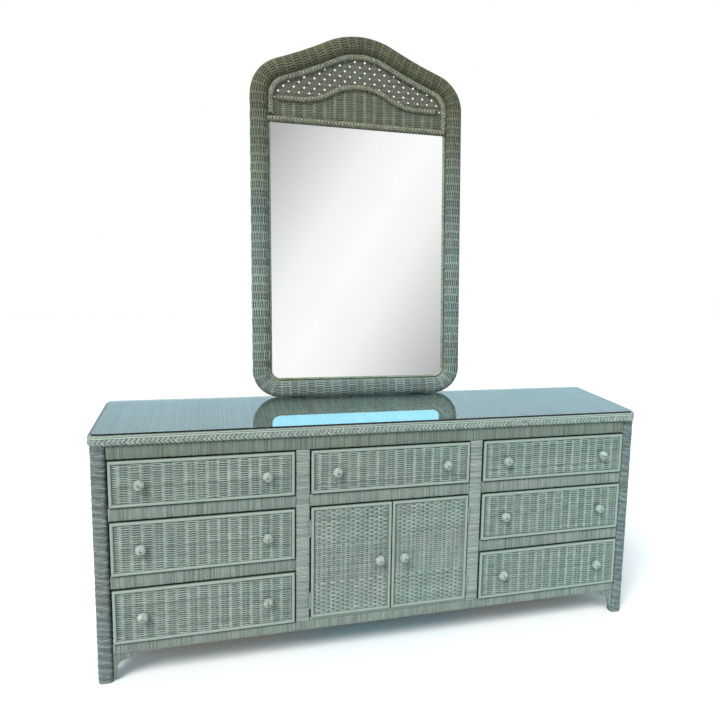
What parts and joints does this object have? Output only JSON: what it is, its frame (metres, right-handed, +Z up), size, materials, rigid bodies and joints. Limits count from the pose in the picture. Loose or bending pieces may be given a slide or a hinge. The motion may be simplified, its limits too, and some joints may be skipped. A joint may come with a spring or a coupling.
{
  "type": "dresser with drawers and mirror",
  "caption": "Wicker dresser with rows of drawers either side of a two-door cupboard, a glass top and an arched mirror with a lattice crest.",
  "frame": {"origin": "on the floor, at the middle of the box that the whole piece fills", "axes": "+X to the right as seen from the front, +Y from the front to the back, +Z up"},
  "size_m": [1.69, 0.5468, 1.953],
  "materials": {
    "painted_cane": "sage green painted wicker, worn at the crossings",
    "painted_wood": "sage green painted half-round moulding",
    "bare_wood": "plain unfinished timber and plywood",
    "clear_glass": "clear polished sheet glass",
    "mirror_silver": "silvered mirror glass",
    "hinge_metal": "painted steel butt hinges"
  },
  "bodies": {
    "root": {"corner_posts": "painted_cane", "top_rail": "painted_cane", "bottom_rail": "painted_cane", "centre_stiles": "painted_cane", "divider_rails": "painted_cane", "case_rails": "painted_cane", "foot_brackets": "painted_cane", "side_panels": "painted_cane", "back_panel": "bare_wood", "partitions": "bare_wood", "cupboard_shelves": "bare_wood", "top_board": "painted_cane", "top_braid": "painted_cane", "glass_top": "clear_glass", "drawer_runners": "bare_wood", "hinge_plates": "hinge_metal", "mirror_frame": "painted_cane", "mirror_glass": "mirror_silver", "mirror_backboard": "bare_wood", "mirror_liner": "painted_wood", "crest_panel": "painted_cane", "crest_lattice": "painted_cane", "crest_braids": "painted_cane", "mirror_struts": "bare_wood"},
    "drawer_left_top": {"drawer_left_top_front": "painted_cane", "drawer_left_top_moulding": "painted_wood", "drawer_left_top_knobs": "painted_cane", "drawer_left_top_box": "bare_wood"},
    "drawer_left_middle": {"drawer_left_middle_front": "painted_cane", "drawer_left_middle_moulding": "painted_wood", "drawer_left_middle_knobs": "painted_cane", "drawer_left_middle_box": "bare_wood"},
    "drawer_left_low": {"drawer_left_low_front": "painted_cane", "drawer_left_low_moulding": "painted_wood", "drawer_left_low_knobs": "painted_cane", "drawer_left_low_box": "bare_wood"},
    "drawer_centre": {"drawer_centre_front": "painted_cane", "drawer_centre_moulding": "painted_wood", "drawer_centre_knobs": "painted_cane", "drawer_centre_box": "bare_wood"},
    "drawer_right_top": {"drawer_right_top_front": "painted_cane", "drawer_right_top_moulding": "painted_wood", "drawer_right_top_knobs": "painted_cane", "drawer_right_top_box": "bare_wood"},
    "drawer_right_middle": {"drawer_right_middle_front": "painted_cane", "drawer_right_middle_moulding": "painted_wood", "drawer_right_middle_knobs": "painted_cane", "drawer_right_middle_box": "bare_wood"},
    "drawer_right_low": {"drawer_right_low_front": "painted_cane", "drawer_right_low_moulding": "painted_wood", "drawer_right_low_knobs": "painted_cane", "drawer_right_low_box": "bare_wood"},
    "door_left": {"door_left_panel": "painted_cane", "door_left_moulding": "painted_wood", "door_left_knob": "painted_cane", "door_left_hinge_leaves": "hinge_metal"},
    "door_right": {"door_right_panel": "painted_cane", "door_right_moulding": "painted_wood", "door_right_knob": "painted_cane", "door_right_hinge_leaves": "hinge_metal"}
  },
  "joints": [
    {"name": "drawer_left_top_slide", "type": "slide", "parent": "root", "child": "drawer_left_top", "axis": [0, -1, 0], "range_m": [0, 0.3]},
    {"name": "drawer_left_middle_slide", "type": "slide", "parent": "root", "child": "drawer_left_middle", "axis": [0, -1, 0], "range_m": [0, 0.3]},
    {"name": "drawer_left_low_slide", "type": "slide", "parent": "root", "child": "drawer_left_low", "axis": [0, -1, 0], "range_m": [0, 0.3]},
    {"name": "drawer_centre_slide", "type": "slide", "parent": "root", "child": "drawer_centre", "axis": [0, -1, 0], "range_m": [0, 0.3]},
    {"name": "drawer_right_top_slide", "type": "slide", "parent": "root", "child": "drawer_right_top", "axis": [0, -1, 0], "range_m": [0, 0.3]},
    {"name": "drawer_right_middle_slide", "type": "slide", "parent": "root", "child": "drawer_right_middle", "axis": [0, -1, 0], "range_m": [0, 0.3]},
    {"name": "drawer_right_low_slide", "type": "slide", "parent": "root", "child": "drawer_right_low", "axis": [0, -1, 0], "range_m": [0, 0.3]},
    {"name": "door_left_hinge", "type": "hinge", "parent": "root", "child": "door_left", "pos_m": [-0.2507, -0.24174, 0.295], "axis": [0, 0, -1], "range_deg": [0, 90]},
    {"name": "door_right_hinge", "type": "hinge", "parent": "root", "child": "door_right", "pos_m": [0.2507, -0.24174, 0.295], "axis": [0, 0, 1], "range_deg": [0, 90]}
  ]
}
